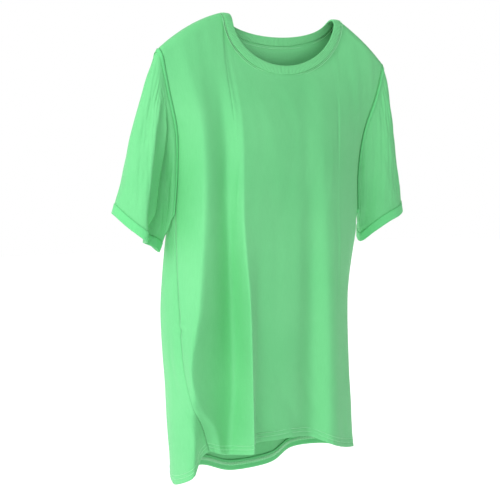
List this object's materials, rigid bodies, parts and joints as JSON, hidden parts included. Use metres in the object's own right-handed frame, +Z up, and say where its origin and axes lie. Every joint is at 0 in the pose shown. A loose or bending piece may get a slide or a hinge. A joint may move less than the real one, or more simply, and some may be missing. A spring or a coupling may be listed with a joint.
{
  "type": "patient top",
  "caption": "Hanging pull-on patient top in light green knit, with a round ribbed neck, set-in short sleeves and turned-up twin-stitched hems.",
  "frame": {"origin": "on the shoulder line, midway between the two points where the shoulder seams meet the neckband, where a hanger holds the top", "axes": "+Z up with the top hanging, the front faces -Y, and the wearer's left side is +X"},
  "size_m": [0.5804, 0.1492, 0.7419],
  "materials": {
    "jersey": "matte",
    "jersey_inside": "matte",
    "rib": "matte",
    "thread": "satin"
  },
  "bodies": {
    "top": {"front_panel": "jersey", "front_hem_facing": "jersey_inside", "front_hem_stitch_1": "thread", "front_hem_stitch_2": "thread", "back_panel": "jersey", "back_hem_facing": "jersey_inside", "back_hem_stitch_1": "thread", "back_hem_stitch_2": "thread", "right_side_seam": "thread", "right_shoulder_seam": "thread", "right_armhole_seam": "thread", "left_side_seam": "thread", "left_shoulder_seam": "thread", "left_armhole_seam": "thread", "neckband": "rib", "neckband_stitch": "thread"},
    "right_sleeve_body": {"right_sleeve": "jersey", "right_sleeve_hem_facing": "jersey_inside", "right_sleeve_hem_stitch": "thread"},
    "left_sleeve_body": {"left_sleeve": "jersey", "left_sleeve_hem_facing": "jersey_inside", "left_sleeve_hem_stitch": "thread"}
  },
  "joints": [
    {"name": "right_sleeve_lift", "type": "hinge", "parent": "top", "child": "right_sleeve_body", "pos_m": [-0.226, 0.011, -0.062], "axis": [0, 1, 0], "range_deg": [0, 15]},
    {"name": "left_sleeve_lift", "type": "hinge", "parent": "top", "child": "left_sleeve_body", "pos_m": [0.226, 0.011, -0.062], "axis": [0, -1, 0], "range_deg": [0, 15]}
  ]
}
